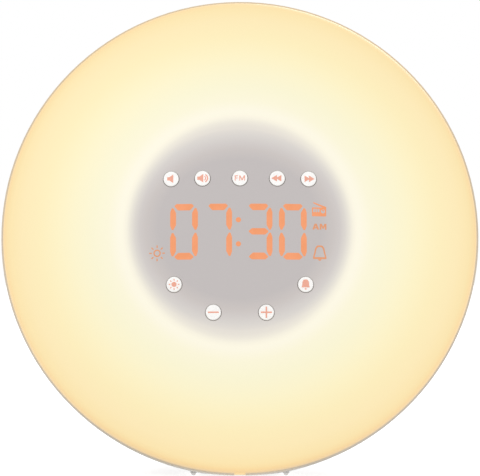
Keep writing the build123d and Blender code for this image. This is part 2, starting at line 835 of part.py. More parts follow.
def speaker_leads():
    """Two wires from the main board back to the speaker's frame."""
    socket_x, socket_y = speaker_socket_place
    socket_low = main_board_back - socket_size[2]
    frame_y = speaker_radius - speaker_wire_inset
    return [
        wire(
            (x, socket_y, socket_low),
            (x, socket_y, socket_low - speaker_wire_drop),
            (x, frame_y, socket_low - speaker_wire_reach),
            (x, frame_y, speaker_flange_z),
            bend=speaker_wire_bend,
        )
        for x in side_by_side(socket_x)
    ]


def power_leads(face):
    """Two wires from the jack up to the main board, drawn in the standing frame."""
    socket_x, socket_y = power_socket_place
    socket_low = main_board_back - socket_size[2]
    foot_y = jack_back_y - power_wire_straight - power_wire_reach
    leads = []
    for start_x, end_x in zip(side_by_side(0), side_by_side(socket_x)):
        plug = (face * Pos(end_x, socket_y, socket_low)).position
        below = (face * Pos(end_x, socket_y, socket_low - power_wire_drop)).position
        leads.append(
            wire(
                (start_x, jack_back_y, port_height),
                (start_x, jack_back_y - power_wire_straight, port_height),
                (end_x, foot_y, port_height + power_wire_climb),
                (end_x, below.Y + power_wire_set_back, below.Z - power_wire_sag),
                tuple(below),
                tuple(plug),
                bend=power_wire_bend,
            )
        )
    return leads


# ---- Put together, centre on the origin and write ------------------------------------
outward = (0, -cos(radians(lean)), sin(radians(lean)))
face = Plane(origin=(0, 0, face_height), x_dir=(1, 0, 0), z_dir=outward).location

in_face_frame = {
    "front_diffuser": [front_diffuser()],
    "display_cup": [display_cup()],
    "display_board": [display_board()],
    "tact_switches": tact_switches(),
    "segment_housing": [segment_housing()],
    "segments_lit": light_guides(1),
    "segments_unlit": light_guides(0),
    "digit_leds": digit_leds(),
    "lamp_reflector": [lamp_reflector()],
    "lamp_board": [lamp_board()],
    "lamp_leds": lamp_leds(),
    "main_board": [main_board()],
    "control_chip": [on_main_board(0, 0, *control_chip_size)],
    "radio_module": [on_main_board(*radio_module_place, *radio_module_size)],
    "capacitors": capacitors(),
    "board_connectors": board_connectors(),
    "speaker_grille": [speaker_grille()],
    "speaker_gasket": [speaker_gasket_ring()],
    "speaker_basket": [speaker_basket()],
    "speaker_cone": [speaker_cone()],
    "speaker_surround": [speaker_surround_ring()],
    "speaker_magnet": [speaker_magnet()],
    "housing_screws": housing_screws(),
    "board_screws": board_screws(),
    "cup_screws": cup_screws(),
    "speaker_screws": speaker_screws(),
    "display_ribbon": [display_ribbon()],
    "lamp_leads": lamp_leads(),
    "speaker_leads": speaker_leads(),
}
for name, place in button_places.items():
    in_face_frame[name] = [button(*place)]

pieces = {name: [face * solid for solid in solids] for name, solids in in_face_frame.items()}
pieces["rear_shell"] = [rear_housing(face)]
pieces["front_feet"] = front_feet()
pieces["rear_foot"] = [rear_foot()]
pieces["power_jack"] = [power_jack()]
pieces["power_jack_pin"] = [power_jack_pin()]
pieces["aerial_gland"] = [aerial_gland()]
pieces["power_leads"] = power_leads(face)

whole = Compound(children=[Compound(solids) for solids in pieces.values()]).bounding_box()
centring = -(whole.min.Y + whole.max.Y) / 2

for name, solids in pieces.items():
    moved = [Pos(0, centring, 0) * solid for solid in solids]
    export_step(moved[0] if len(moved) == 1 else Compound(moved), f"parts/{name}.step")
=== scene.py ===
import json
import math

import bmesh
import bpy
from mathutils import Matrix, Vector


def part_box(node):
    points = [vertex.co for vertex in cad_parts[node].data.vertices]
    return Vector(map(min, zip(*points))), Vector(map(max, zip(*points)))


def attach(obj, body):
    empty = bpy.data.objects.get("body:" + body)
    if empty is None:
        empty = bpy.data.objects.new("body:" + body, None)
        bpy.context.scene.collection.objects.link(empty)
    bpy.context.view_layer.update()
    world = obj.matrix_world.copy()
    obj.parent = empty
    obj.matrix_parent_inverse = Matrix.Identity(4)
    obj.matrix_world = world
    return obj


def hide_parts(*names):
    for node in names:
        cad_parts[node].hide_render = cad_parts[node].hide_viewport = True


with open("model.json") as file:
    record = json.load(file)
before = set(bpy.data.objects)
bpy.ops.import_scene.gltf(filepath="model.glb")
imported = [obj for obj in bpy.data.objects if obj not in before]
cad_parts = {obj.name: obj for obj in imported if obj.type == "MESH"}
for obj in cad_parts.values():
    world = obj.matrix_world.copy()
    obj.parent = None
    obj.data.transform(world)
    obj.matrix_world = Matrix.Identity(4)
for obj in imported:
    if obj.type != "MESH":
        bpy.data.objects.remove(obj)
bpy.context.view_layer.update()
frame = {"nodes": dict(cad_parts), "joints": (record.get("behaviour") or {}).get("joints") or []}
nodes = frame["nodes"]
scene = bpy.context.scene

# ---- Rear housing --------------------------------------------------------------------
# The back is one moulding in warm light grey plastic: a straight band behind the rim, a round bowl
# and the pedestal under it. Its skin has the fine, even grain of a spark-eroded mould.

mm = 0.001
out = -Vector(frame["joints"][0]["axis"]).normalized()   # the way the face looks, against the keys' stroke
lamp_board_low, lamp_board_high = (Vector(corner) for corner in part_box("lamp_board"))
lamp_board_depth = 12.8 * mm   # the middle of the LED ring's board lies this far behind the rim
face_centre = (lamp_board_low + lamp_board_high) / 2 + out * lamp_board_depth


def paint(red, green, blue):
    """A colour as a paint card gives it, 0 to 255, in the linear values that shaders take."""

    def linear(value):
        share = value / 255
        return share / 12.92 if share <= 0.04045 else ((share + 0.055) / 1.055) ** 2.4

    return (linear(red), linear(green), linear(blue), 1.0)


class Finish:
    """One material under construction, measured over the object in metres."""

    def __init__(self, name, roughness, metallic=0.0):
        self.material = bpy.data.materials.new(name)
        self.material.use_nodes = True
        self.nodes = self.material.node_tree.nodes
        self.links = self.material.node_tree.links
        self.shader = self.nodes["Principled BSDF"]
        self.feed("Roughness", roughness)
        self.feed("Metallic", metallic)
        self.place = self.nodes.new("ShaderNodeTexCoord").outputs["Object"]

    def feed(self, socket, value):
        """Link a value to a socket or, if it is plain, set it; a name is one of the shader's sockets."""
        if isinstance(socket, str):
            socket = self.shader.inputs[socket]
        if isinstance(value, bpy.types.NodeSocket):
            self.links.new(value, socket)
        else:
            socket.default_value = value

    def noise(self, scale, detail=2.0, stretch=None):
        """Cloudy values, finer as scale goes up; stretch lengthens them along an axis."""
        texture = self.nodes.new("ShaderNodeTexNoise")
        texture.inputs["Scale"].default_value = scale
        texture.inputs["Detail"].default_value = detail
        source = self.place
        if stretch:
            mapping = self.nodes.new("ShaderNodeMapping")
            mapping.inputs["Scale"].default_value = stretch
            self.links.new(source, mapping.inputs["Vector"])
            source = mapping.outputs["Vector"]
        self.links.new(source, texture.inputs["Vector"])
        return texture.outputs["Fac"]

    def step(self, operation, *values):
        """One operation on values."""
        node = self.nodes.new("ShaderNodeMath")
        node.operation = operation
        for socket, value in zip(node.inputs, values):
            self.feed(socket, value)
        return node.outputs["Value"]

    def along(self, direction, start):
        """How far a point lies along a direction, past start."""
        dot = self.nodes.new("ShaderNodeVectorMath")
        dot.operation = "DOT_PRODUCT"
        dot.inputs[1].default_value = direction
        self.links.new(self.place, dot.inputs[0])
        return self.step("SUBTRACT", dot.outputs["Value"], start)

    def share_along(self, direction, start, end):
        """0 where a point lies at start along a direction, and 1 where it lies at end."""
        return self.step("DIVIDE", self.along(direction, start), end - start)

    def ramp(self, value, stops):
        """Colours laid along a value, as (place, colour) stops."""
        ramp = self.nodes.new("ShaderNodeValToRGB")
        elements = ramp.color_ramp.elements
        for element, (place, colour) in zip(elements, (stops[0], stops[-1])):
            element.position, element.color = place, colour
        for place, colour in stops[1:-1]:
            elements.new(place).color = colour
        self.links.new(value, ramp.inputs["Fac"])
        return ramp.outputs["Color"]

    def mix(self, share, first, second):
        """Two colours mixed: the first at a share of 0, the second at 1."""
        node = self.nodes.new("ShaderNodeMix")
        node.data_type = "RGBA"
        inputs = [socket for socket in node.inputs if socket.enabled]
        for socket, value in zip(inputs, (share, first, second)):
            self.feed(socket, value)
        return next(socket for socket in node.outputs if socket.enabled)

    def blend(self, value, stops):
        """Colours laid along a value as the finish's own colour."""
        self.feed("Base Color", self.ramp(value, stops))

    def bump(self, value, depth):
        """Relief of that depth in metres."""
        relief = self.nodes.new("ShaderNodeBump")
        relief.inputs["Strength"].default_value = 1.0
        relief.inputs["Distance"].default_value = depth
        self.links.new(value, relief.inputs["Height"])
        self.feed("Normal", relief.outputs["Normal"])

    def glow(self, colour, strength):
        """Light of its own."""
        self.feed("Emission Color", colour)
        self.feed("Emission Strength", strength)

    def on(self, *node_names):
        """Put the finish on solids of the construction."""
        for node_name in node_names:
            mesh = nodes[node_name].data
            mesh.materials.clear()
            mesh.materials.append(self.material)


def moulded(name, colour, roughness=0.5, spread=2, grain=1400, depth=0.015 * mm, glow=0.0):
    """Moulded plastic or rubber: a shade of unevenness, a fine grain and, where given, its own light."""
    finish = Finish(name, roughness)
    darker = paint(*(max(part - spread, 0) for part in colour))
    lighter = paint(*(min(part + spread, 255) for part in colour))
    finish.blend(finish.noise(grain, 3), [(0.35, darker), (0.65, lighter)])
    finish.bump(finish.noise(grain, 2), depth)
    if glow:
        finish.glow(paint(*colour), glow)
    return finish


housing = moulded("housing_plastic", (203, 199, 195), roughness=0.42)
grey_plastic = housing.shader.inputs["Base Color"].links[0].from_socket
# Painted light: the rim is painted warm, warmer towards the top, for the lamp's glow that falls on it,
# and the lowest few millimetres are painted lighter and glow faintly, for light from the floor.
upright = Vector((0, 0, 1))
rim_plane = face_centre.dot(out)
rim_fade = 0.35 * mm
near_rim = housing.share_along(out, rim_plane - rim_fade, rim_plane)
near_top = housing.share_along(upright, 20 * mm, 160 * mm)
near_floor = housing.share_along(upright, 5 * mm, 1 * mm)
rim_painted_glow_colour = housing.mix(near_top, paint(214, 211, 206), paint(226, 210, 182))
skin_with_painted_floor_light = housing.mix(near_floor, grey_plastic, paint(240, 238, 234))
housing.feed("Base Color", housing.mix(near_rim, skin_with_painted_floor_light, rim_painted_glow_colour))
# Painted light: a faint glow of the plastic's own, only in the lowest few millimetres.
housing.glow(housing.mix(near_floor, paint(0, 0, 0), paint(84, 83, 82)), 1.0)
housing.on("rear_shell")

# ---- Loudspeaker and grille ----------------------------------------------------------
# The speaker fires backwards through a perforated disc. Its frame is black pressed steel, the cone
# dark paper on a rubber roll, and a foam ring seals it against the housing.

moulded("grille_plastic", (188, 184, 180), roughness=0.48).on("speaker_grille")
moulded("foam_ring", (38, 37, 37), roughness=0.95, grain=900, depth=0.2 * mm).on("speaker_gasket")
moulded("frame_paint", (30, 30, 32), roughness=0.38, spread=3).on("speaker_basket")
moulded("rubber_roll", (20, 20, 20), roughness=0.6, spread=3).on("speaker_surround")

paper = Finish("paper_pulp", 0.92)
paper.blend(paper.noise(700, 6), [(0.3, paint(34, 32, 30)), (0.75, paint(62, 58, 54))])
paper.bump(paper.noise(1600, 4), 0.06 * mm)
paper.on("speaker_cone")


def metal(name, roughness, darker, lighter, clouds, grain, depth, metallic=1.0):
    """Bare or plated metal; clouds and grain are the scale, detail and stretch of their noise."""
    finish = Finish(name, roughness, metallic)
    finish.blend(finish.noise(*clouds), [(0.3, paint(*darker)), (0.7, paint(*lighter))])
    finish.bump(finish.noise(*grain), depth)
    return finish


magnet = metal("ferrite", 0.55, (58, 58, 60), (92, 92, 95), (500, 4), (2200, 2), 0.01 * mm, metallic=0.6)
magnet.on("speaker_magnet")

# ---- Feet and sockets ----------------------------------------------------------------
# Two slim rubber strips under the ribs at the front, a wider one under the pedestal, the black
# low-voltage socket with its plated pin, and the rubber gland that a wire aerial leaves by.

rib_width = 2.3 * mm
runner_width = 1.8 * mm
# The feet's pale rubber is painted near white and glows faintly: painted light for the shade under the
# housing.
foot_rubber_painted_glow = moulded("foot_rubber_painted_glow", (236, 235, 232), roughness=0.7, depth=0.03 * mm, glow=0.35)
foot_rubber_painted_glow.on("rear_foot")


def bridge(bm, before, after):
    """Faces between two loops of vertices, either of which may be a single point."""
    sides = max(len(before), len(after))
    for i in range(sides):
        j = (i + 1) % sides
        corners = [loop[k % len(loop)] for loop, k in ((before, i), (before, j), (after, j), (after, i))]
        bm.faces.new(list(dict.fromkeys(corners)))


def runner(bm, low, high):
    """A rubber strip along y with a half-round underside and rounded ends."""
    middle, half, deep = (low.x + high.x) / 2, (high.x - low.x) / 2, high.z - low.z
    straight = deep / 4   # the upright part of its sides
    turns = [math.pi * i / 12 for i in range(13)]
    section = [(half * math.cos(a), straight + (deep - straight) * math.sin(a)) for a in turns]
    section = [(half, 0), *section, (-half, 0)]
    rings = []
    for turn in (0, math.pi / 6, math.pi / 3, math.pi / 2):
        rings.append((low.y + half * (1 - math.cos(turn)), 0.5 + 0.5 * math.sin(turn)))
    rings += [(low.y + high.y - y, size) for y, size in reversed(rings)]
    loops = []
    for y, size in rings:
        loops.append([bm.verts.new((middle + x * size, y, high.z - drop * size)) for x, drop in section])
    for before, after in zip(loops, loops[1:]):
        bridge(bm, before, after)
    bm.faces.new(loops[0])
    bm.faces.new(loops[-1][::-1])


def front_runners(bm):
    """Both strips, each under the middle of its rib."""
    feet_low, feet_high = (Vector(corner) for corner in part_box("front_feet"))
    spare = (rib_width - runner_width) / 2
    for left in (feet_low.x + spare, feet_high.x - spare - runner_width):
        low = Vector((left, feet_low.y, feet_low.z))
        runner(bm, low, Vector((left + runner_width, feet_high.y, feet_high.z)))


def add_piece(name, mesh_maker, material, body="lamp", place=Matrix()):
    """A piece from its mesh maker, moved to its place and set on its body."""
    bm = bmesh.new()
    mesh_maker(bm)
    bmesh.ops.recalc_face_normals(bm, faces=bm.faces)
    mesh = bpy.data.meshes.new(name)
    bm.to_mesh(mesh)
    bm.free()
    mesh.transform(place)
    mesh.materials.append(material)
    piece = bpy.data.objects.new(name, mesh)
    scene.collection.objects.link(piece)
    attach(piece, body)
    return piece


def shade_smooth(piece, sharpest):
    """Smooth shading, with an edge where faces turn by more than that many degrees."""
    for polygon in piece.data.polygons:
        polygon.use_smooth = True
    piece.data.set_sharp_from_angle(angle=math.radians(sharpest))


runners = add_piece("front_runners", front_runners, foot_rubber_painted_glow.material)
shade_smooth(runners, 40)
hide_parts("front_feet")

moulded("gland_rubber", (70, 68, 67), roughness=0.75).on("aerial_gland")
moulded("socket_plastic", (24, 24, 25), roughness=0.35, spread=3).on("power_jack")
drawn_grain = (4000, 2, (1, 0.05, 1))
pin_plating = metal("pin_plating", 0.22, (196, 182, 140), (216, 204, 164), (900, 3), drawn_grain, 0.004 * mm)
pin_plating.on("power_jack_pin")

# ---- Screws and wires ----------------------------------------------------------------
# Zinc-plated screws hold the front to the back, the boards to their posts and the speaker to its
# bosses. Insulated wires and one flat ribbon join the boards.

zinc = metal("zinc_plating", 0.34, (168, 170, 174), (196, 197, 200), (800, 4), (3000, 2), 0.006 * mm)
zinc.on("housing_screws", "board_screws", "cup_screws", "speaker_screws")

wire_cover = moulded("wire_cover", (150, 34, 28), roughness=0.45, spread=8)
wire_cover.on("lamp_leads", "speaker_leads", "power_leads")

ribbon = Finish("ribbon_cover", 0.5)
strands = ribbon.nodes.new("ShaderNodeTexWave")
strands.wave_type = "BANDS"
strands.bands_direction = "X"
strands.inputs["Scale"].default_value = 250
ribbon.links.new(ribbon.place, strands.inputs["Vector"])
ribbon.blend(strands.outputs["Fac"], [(0.2, paint(150, 150, 150)), (0.6, paint(206, 206, 204))])
ribbon.bump(strands.outputs["Fac"], 0.1 * mm)
ribbon.on("display_ribbon")

# ---- Circuit boards and what stands on them ------------------------------------------
# Glass-fibre boards under green solder mask, with copper tracks that show through it as lighter
# lines, moulded black chips, a tinned can over the radio, sleeved capacitors and nylon sockets.

board = Finish("solder_mask", 0.3)
tracks = board.nodes.new("ShaderNodeTexBrick")
tracks.inputs["Scale"].default_value = 190
tracks.inputs["Mortar Size"].default_value = 0.06
tracks.inputs["Color1"].default_value = paint(14, 84, 46)
tracks.inputs["Color2"].default_value = paint(20, 96, 54)
tracks.inputs["Mortar"].default_value = paint(58, 132, 74)
laid_flat = board.nodes.new("ShaderNodeMapping")
laid_flat.inputs["Rotation"].default_value = (math.radians(90), 0, 0)
board.links.new(board.place, laid_flat.inputs["Vector"])
board.links.new(laid_flat.outputs["Vector"], tracks.inputs["Vector"])
board.feed("Base Color", tracks.outputs["Color"])
board.bump(tracks.outputs["Fac"], 0.03 * mm)
board.on("main_board", "lamp_board", "display_board")

moulded("switch_plastic", (32, 32, 33), roughness=0.5, spread=4).on("tact_switches")
moulded("chip_epoxy", (26, 26, 28), roughness=0.62, grain=2600).on("control_chip")
moulded("nylon", (232, 228, 214), roughness=0.45, spread=4).on("board_connectors")
moulded("capacitor_sleeve", (36, 42, 74), roughness=0.32, spread=5).on("capacitors")
rolled_grain = (2500, 2, (1, 1, 0.1))
can = metal("tinned_can", 0.28, (188, 190, 192), (210, 211, 212), (500, 4), rolled_grain, 0.006 * mm)
can.on("radio_module")

# ---- Lamp ----------------------------------------------------------------------------
# A glossy white dish lies behind the cover, with a ring of warm white LEDs in its floor that light
# the dome evenly from within.

moulded("dish_white", (244, 243, 238), roughness=0.28, spread=3, depth=0.006 * mm).on("lamp_reflector")


def lit_resin(name, colour, strength):
    """Resin or a light guide that gives light of its own colour."""
    finish = Finish(name, 0.3)
    dim = (part * 0.92 for part in colour)
    finish.blend(finish.noise(900, 2), [(0.3, paint(*dim)), (0.7, paint(*colour))])
    finish.glow(paint(*colour), strength)
    return finish


lit_resin("warm_led", (255, 232, 176), 2.0).on("lamp_leds")

# ---- Display box ---------------------------------------------------------------------
# A dark tube keeps the lamp's light off the clock. In it a grey block has a light well for every
# segment, with an amber LED at its foot and a clear prism above.

moulded("tube_plastic", (60, 60, 61), roughness=0.6).on("display_cup")
moulded("block_plastic", (150, 146, 145), roughness=0.55).on("segment_housing")
lit_resin("amber_guide", (250, 150, 96), 0.8).on("segments_lit")
moulded("clear_guide", (178, 172, 170), roughness=0.2, spread=3).on("segments_unlit")
lit_resin("amber_led", (255, 170, 90), 1.5).on("digit_leds")

# ---- Front cover ---------------------------------------------------------------------
# The cover is one dome of milky satin plastic, turned here from its section, with a lip inside the
# housing, a catch at the bottom and nine drilled holes. The lamp's glow is painted on it as colour and
# light of its own, pale yellow round the display and deeper towards the rim, with painted shade over
# the dark tube and at the very edge, a little wider at the bottom.

across = Vector((1, 0, 0))
up = out.cross(across).normalized()
face_place = Matrix.Translation(face_centre) @ Matrix((across, up, out)).transposed().to_4x4()

cover_radius = 88.8 * mm
cover_wall = 2.0 * mm
crown_height = 24.0 * mm
skirt_height = 4.0 * mm
shoulder_round = 5.95 * mm
lip_depth = 6.0 * mm
lip_inset = 1.65 * mm
lip_outer = cover_radius - lip_inset
lip_inner = lip_outer - cover_wall
crown_rise = crown_height - skirt_height
crown_radius = (cover_radius**2 + crown_rise**2) / (2 * crown_rise)
crown_centre = crown_height - crown_radius

cap_radius = 2.8 * mm
cap_gap = 0.3 * mm
key_places = {}
for node_name in nodes:
    if node_name.startswith("button_"):
        key_low, key_high = (Vector(corner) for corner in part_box(node_name))
        key_middle = (key_low + key_high) / 2 - face_centre
        key_places[node_name] = (key_middle.dot(across), key_middle.dot(up))


def rounded_shoulder(radius, sphere, corner, steps=10):
    """Section points, out to in, of the turn from the upright skirt into the dome."""
    middle_z = crown_centre + math.sqrt((sphere - corner) ** 2 - (radius - corner) ** 2)
    middle = Vector((radius - corner, middle_z))
    last = math.atan2(middle_z - crown_centre, radius - corner)
    turns = [last * i / steps for i in range(steps + 1)]
    return [middle + corner * Vector((math.cos(a), math.sin(a))) for a in turns]


def crown_arc(start, sphere, steps):
    """Section points of the dome from a shoulder to the axis."""
    first = math.asin(start.x / sphere)
    turns = [first * (1 - i / steps) for i in range(1, steps + 1)]
    return [Vector((sphere * math.sin(a), crown_centre + sphere * math.cos(a))) for a in turns]


def cover_section():
    """The cover's cut outline, from the inner crown round the lip to the outer crown."""
    outer = rounded_shoulder(cover_radius, crown_radius, shoulder_round)
    outer += crown_arc(outer[-1], crown_radius, 40)
    inner_sphere = crown_radius - cover_wall
    inner = rounded_shoulder(lip_inner, inner_sphere, shoulder_round - cover_wall)
    inner += crown_arc(inner[-1], inner_sphere, 30)
    lip = [(lip_inner, -lip_depth), (lip_outer, -lip_depth), (lip_outer, 0), (cover_radius, 0)]
    return [*reversed(inner), *(Vector(corner) for corner in lip), *outer]


def lathe(bm, section, sides):
    """Turn a section, given as (radius, z), about the face's axis."""
    turns = [2 * math.pi * i / sides for i in range(sides)]
    rings = []
    for radius, z in section:
        on_axis = radius < 1e-7
        corners = [(0, 0, z)] if on_axis else [(radius * math.cos(a), radius * math.sin(a), z) for a in turns]
        rings.append([bm.verts.new(corner) for corner in corners])
    for before, after in zip(rings, rings[1:]):
        bridge(bm, before, after)


class FaceFinish(Finish):
    """A finish laid out over the face, by distances from points of it in metres."""

    def distance(self, reach, centre_y=0.0, flatness=1.0):
        """Distance from a point above the face's middle, as a share of reach; ovals are wider than high."""
        x = self.along(across, face_centre.dot(across))
        y = self.along(up, face_centre.dot(up) + centre_y)
        x = self.step("POWER", self.step("DIVIDE", x, reach), 2.0)
        y = self.step("POWER", self.step("DIVIDE", y, reach * flatness), 2.0)
        return self.step("SQRT", self.step("ADD", x, y))

    def light_up(self, colour, share=0.72):
        """Show a colour on satin plastic, with share of it as light of its own and the rest as plastic."""
        self.feed("Specular IOR Level", 0.3)
        self.glow(colour, share)
        self.feed("Base Color", self.mix(share, colour, paint(0, 0, 0)))


def glowing_cover():
    """The cover's finish: milky plastic with the lamp's glow painted on, and painted grey shade over the dark
    tube.
    """
    finish = FaceFinish("milky_cover", 0.45)
    # The middle is set a little high, so that the darker edge is a little wider at the bottom: painted shade
    # for light from above.
    light = finish.ramp(
        finish.distance(cover_radius + 0.3 * mm, centre_y=0.1 * mm, flatness=0.998),
        [
            (0.50, paint(255, 250, 230)),
            (0.545, paint(253, 248, 220)),
            (0.61, paint(252, 247, 214)),
            (0.69, paint(254, 246, 207)),
            (0.75, paint(255, 244, 200)),
            (0.83, paint(255, 240, 191)),
            (0.91, paint(255, 236, 186)),
            (0.962, paint(254, 232, 178)),
            (0.977, paint(254, 228, 172)),
            (0.987, paint(252, 220, 162)),
            (0.9945, paint(244, 213, 160)),
            (1.0, paint(220, 197, 160)),
        ],
    )
    # Painted shade: over the dark tube the glow is painted grey, darkest in an oval round the digits.
    tube_reach = 50 * mm
    shade = finish.ramp(
        finish.distance(tube_reach, flatness=0.86),
        [
            (0.60, paint(195, 189, 188)),
            (0.69, paint(203, 196, 193)),
            (0.75, paint(210, 204, 201)),
            (0.81, paint(218, 213, 208)),
            (0.87, paint(228, 222, 214)),
        ],
    )
    lit_shares = ((0.735, 0.0), (0.775, 0.16), (0.805, 0.42), (0.835, 0.80), (0.865, 1.0))
    lit_stops = [(place, (share, share, share, 1.0)) for place, share in lit_shares]
    lit = finish.ramp(finish.distance(tube_reach), lit_stops)
    finish.light_up(finish.mix(lit, shade, light))
    finish.bump(finish.noise(1800, 2), 0.006 * mm)
    return finish.material


def lit_plastic(name, darker, lighter):
    """Milky plastic with light of one colour behind it, a little uneven."""
    finish = FaceFinish(name, 0.45)
    finish.light_up(finish.ramp(finish.noise(250, 2), [(0.35, paint(*darker)), (0.65, paint(*lighter))]))
    return finish.material


def dome(bm):
    """The cover before its holes are drilled."""
    lathe(bm, cover_section(), sides=180)


def drill_bars(bm):
    """Bars through the crown where the nine keys go."""
    radius = cap_radius + cap_gap
    length, middle_z = 20 * mm, 20 * mm
    for x, y in key_places.values():
        bmesh.ops.create_cone(
            bm, cap_ends=True, segments=48, radius1=radius, radius2=radius, depth=length,
            matrix=Matrix.Translation((x, y, middle_z)),
        )


def catch(bm):
    """The tab at the bottom of the cover that snaps into the housing's rim."""
    half_width, half_height, steps = 2.0 * mm, 2.2 * mm, 8
    inner, outer = lip_inner + 0.5 * mm, cover_radius + 0.3 * mm
    low_bevel, high_bevel = 0.2 * mm, 0.8 * mm
    section = [
        (inner, -half_height), (outer - low_bevel, -half_height), (outer, low_bevel - half_height),
        (outer, half_height - high_bevel), (cover_radius, half_height), (inner, half_height),
    ]
    xs = [half_width * (2 * i / steps - 1) for i in range(steps + 1)]
    loops = [[bm.verts.new((x, -math.sqrt(radius**2 - x**2), z)) for radius, z in section] for x in xs]
    for before, after in zip(loops, loops[1:]):
        bridge(bm, before, after)
    bm.faces.new(loops[0])
    bm.faces.new(loops[-1])


# Painted shade: the walls of the key holes are painted grey for the shade in the narrow gap round each key,
# and glow a little with the lamp's light through the cover.
hole_wall = moulded("hole_walls_painted_shade", (188, 184, 181), roughness=0.6, glow=0.6)
cover = add_piece("cover_dome", dome, glowing_cover(), place=face_place)
drills = add_piece("drills", drill_bars, hole_wall.material, place=face_place)
holes = cover.modifiers.new("holes", "BOOLEAN")
holes.operation = "DIFFERENCE"
holes.solver = "EXACT"
holes.material_mode = "TRANSFER"
holes.object = drills
bpy.context.view_layer.update()
drilled = bpy.data.meshes.new_from_object(cover.evaluated_get(bpy.context.evaluated_depsgraph_get()))
cover.modifiers.clear()
cover.data = drilled
bpy.data.objects.remove(drills)
shade_smooth(cover, 35)
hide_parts("front_diffuser")

catch_light = lit_plastic("lit_catch", (248, 216, 158), (250, 220, 164))
add_piece("cover_catch", catch, catch_light, place=face_place)

# ---- Clock display -------------------------------------------------------------------
# Four seven-segment digits, the dots between them and four signs shine through the cover. Each lit
# shape is a thin plate that lies on the dome. The sun, the letters and the bell are a little dimmer.

amber = lit_plastic("amber_light", (244, 157, 108), (248, 161, 114))
dim_amber = lit_plastic("dim_amber_light", (227, 153, 110), (231, 157, 114))


def crown_z(x, y, lift=0.0):
    """Height over the rim's plane of the dome, or of a surface lifted off it."""
    return crown_centre + math.sqrt((crown_radius + lift) ** 2 - x * x - y * y)


def in_mm(points):
    """Points given in millimetres, turned into metres."""
    return [(x * mm, y * mm) for x, y in points]


def rounded(corners, radius, steps=4):
    """A closed outline through corners, each turned with the radius as far as its sides allow."""
    points = []
    most = 0.45   # how much of a side one corner may take
    for before, here, after in zip(corners[-1:] + corners[:-1], corners, corners[1:] + corners[:1]):
        here, back, ahead = Vector(here), Vector(before) - Vector(here), Vector(after) - Vector(here)
        half = back.angle(ahead) / 2
        reach = min(radius / math.tan(half), most * back.length, most * ahead.length)
        start, end = here + back.normalized() * reach, here + ahead.normalized() * reach
        for share in (i / steps for i in range(steps + 1)):
            points.append(start * (1 - share) ** 2 + here * 2 * share * (1 - share) + end * share**2)
    return points


def circle(radius, centre=(0, 0), count=32):
    """A round outline."""
    turns = [2 * math.pi * i / count for i in range(count)]
    return [Vector(centre) + radius * Vector((math.cos(a), math.sin(a))) for a in turns]


def stroke(start, end, width):
    """A straight stroke with slightly rounded ends."""
    start, end = Vector(start), Vector(end)
    side = (end - start).orthogonal().normalized() * width / 2
    return rounded([start - side, end - side, end + side, start + side], width * 0.3, 3)


def turned(outline, degrees, shift=(0, 0)):
    """An outline turned about the origin and then moved."""
    turn = Matrix.Rotation(math.radians(degrees), 2)
    return [turn @ Vector(point) + Vector(shift) for point in outline]


def flat_plate(outlines, thick):
    """A filled plate in mesh form, in which an outline inside another is a hole."""
    # The curve is drawn with a millimetre as its unit, and its mesh is scaled to metres.
    curve = bpy.data.curves.new("outlines", "CURVE")
    curve.dimensions = "2D"
    curve.fill_mode = "BOTH"
    curve.extrude = thick / 2 / mm
    for outline in outlines:
        line = curve.splines.new("POLY")
        line.points.add(len(outline) - 1)
        for point, (x, y) in zip(line.points, outline):
            point.co = (x / mm, y / mm, 0, 1)
        line.use_cyclic_u = True
    holder = bpy.data.objects.new("outlines", curve)
    scene.collection.objects.link(holder)
    bpy.context.view_layer.update()
    mesh = bpy.data.meshes.new_from_object(holder.evaluated_get(bpy.context.evaluated_depsgraph_get()))
    mesh.transform(Matrix.Scale(mm, 4))
    bpy.data.objects.remove(holder)
    bpy.data.curves.remove(curve)
    return mesh


def inlay(name, outlines, centre, material, body="lamp", lift=0.0):
    """A thin plate of the outlines, moved to a place on the face and laid on the dome."""
    plate = flat_plate(outlines, thick=0.12 * mm)
    for vertex in plate.vertices:
        x, y = vertex.co.x + centre[0], vertex.co.y + centre[1]
        vertex.co = (x, y, crown_z(x, y, lift) + vertex.co.z)
    add_piece(name, lambda bm: bm.from_mesh(plate), material, body, face_place)


digit_arm_x = 4.02 * mm
digit_arm_y = 9.05 * mm
upper_arm_y = 4.66 * mm
lower_arm_y = -4.76 * mm
digit_centre_y = -1.17 * mm
digit_centres_x = [x * mm for x in (-20.47, -7.95, 6.85, 19.44)]
colon_x = -0.54 * mm
colon_ys = (3.1 * mm, -5.8 * mm)
colon_radius = 0.95 * mm


def bar(length, width, shift, outer_taper, inner_taper, blunt):
    """A segment along x, outer side up, given in millimetres; its tips lie off the middle by shift."""
    tip, half = length / 2, width / 2
    corners = [
        (-tip, shift + blunt), (-tip, shift - blunt), (-tip + inner_taper, -half), (tip - inner_taper, -half),
        (tip, shift - blunt), (tip, shift + blunt), (tip - outer_taper, half), (-tip + outer_taper, half),
    ]
    return rounded(in_mm(corners), 0.6 * mm)


